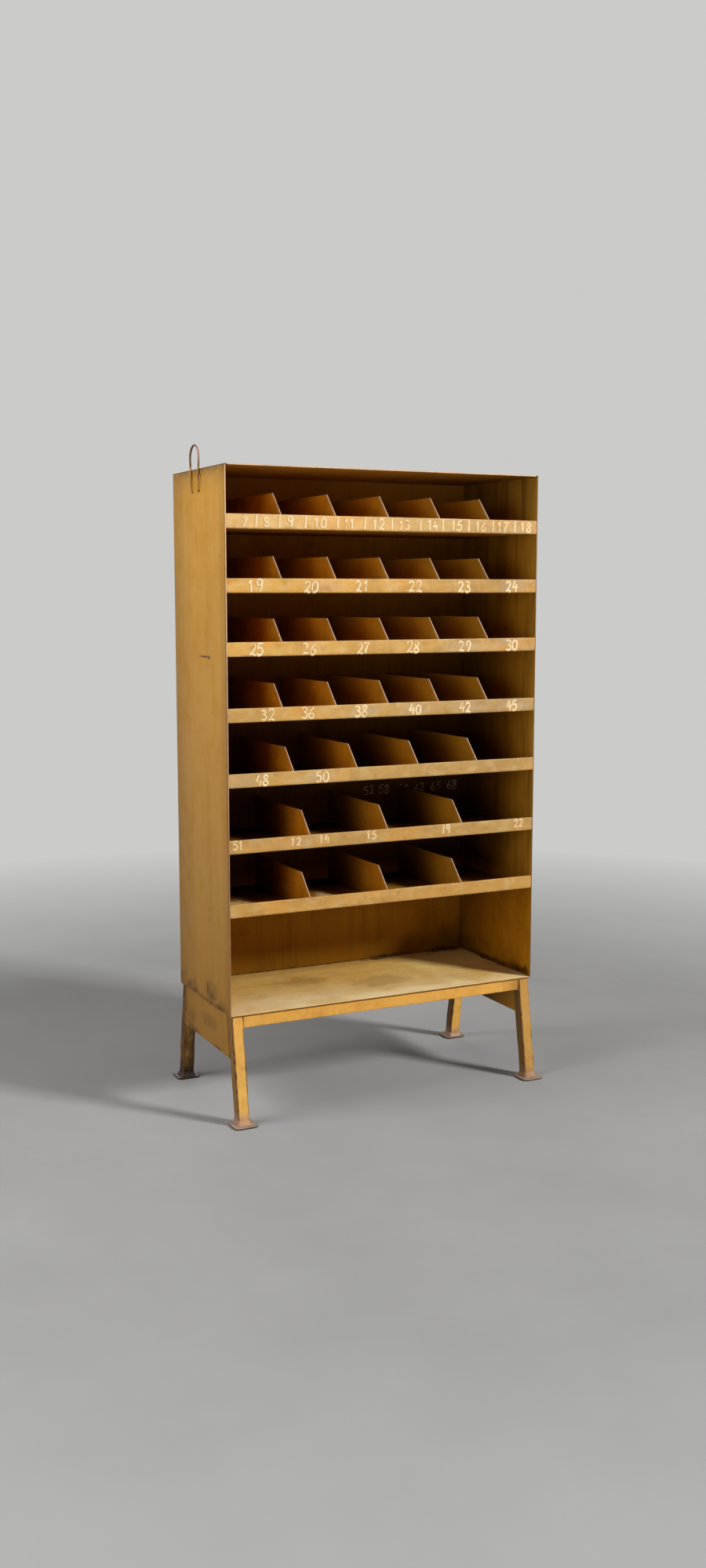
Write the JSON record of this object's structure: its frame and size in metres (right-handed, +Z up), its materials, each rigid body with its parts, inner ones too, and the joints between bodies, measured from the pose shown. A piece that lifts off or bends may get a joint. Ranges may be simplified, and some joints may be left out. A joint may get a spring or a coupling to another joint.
{
  "type": "pigeonhole mail sorter",
  "caption": "Tall free-standing rack of open pigeonholes in welded sheet steel, with lipped shelves, low dividers, an open bottom compartment, splayed legs on foot plates and a lifting loop.",
  "frame": {"origin": "on the ground, midway between the four foot plates", "axes": "+Z up, +X to the right seen from the open front, +Y to the back, so the front faces -Y"},
  "size_m": [1.025, 0.551, 1.9158],
  "materials": {
    "ochre_paint": "hand-brushed ochre enamel, worn and stained",
    "worn_floor_paint": "the same paint rubbed pale by use",
    "foot_steel": "dirty bare steel with rust",
    "loop_steel": "bent round bar with rust and traces of paint"
  },
  "bodies": {
    "root": {"left_side_panel": "ochre_paint", "right_side_panel": "ochre_paint", "top_panel": "ochre_paint", "back_panel": "ochre_paint", "floor_panel": "worn_floor_paint", "shelf_1": "ochre_paint", "shelf_2": "ochre_paint", "shelf_3": "ochre_paint", "shelf_4": "ochre_paint", "shelf_5": "ochre_paint", "shelf_6": "ochre_paint", "shelf_7": "ochre_paint", "divider_1_1": "ochre_paint", "divider_1_2": "ochre_paint", "divider_1_3": "ochre_paint", "divider_1_4": "ochre_paint", "divider_1_5": "ochre_paint", "divider_2_1": "ochre_paint", "divider_2_2": "ochre_paint", "divider_2_3": "ochre_paint", "divider_2_4": "ochre_paint", "divider_2_5": "ochre_paint", "divider_3_1": "ochre_paint", "divider_3_2": "ochre_paint", "divider_3_3": "ochre_paint", "divider_3_4": "ochre_paint", "divider_3_5": "ochre_paint", "divider_4_1": "ochre_paint", "divider_4_2": "ochre_paint", "divider_4_3": "ochre_paint", "divider_4_4": "ochre_paint", "divider_4_5": "ochre_paint", "divider_5_1": "ochre_paint", "divider_5_2": "ochre_paint", "divider_5_3": "ochre_paint", "divider_5_4": "ochre_paint", "divider_6_1": "ochre_paint", "divider_6_2": "ochre_paint", "divider_6_3": "ochre_paint", "divider_7_1": "ochre_paint", "divider_7_2": "ochre_paint", "divider_7_3": "ochre_paint", "leg_front_left": "ochre_paint", "leg_front_right": "ochre_paint", "leg_rear_left": "ochre_paint", "leg_rear_right": "ochre_paint", "foot_front_left": "foot_steel", "foot_front_right": "foot_steel", "foot_rear_left": "foot_steel", "foot_rear_right": "foot_steel", "front_rail": "ochre_paint", "rear_rail": "ochre_paint", "left_apron": "ochre_paint", "right_apron": "ochre_paint", "lifting_loop": "loop_steel"}
  },
  "joints": []
}
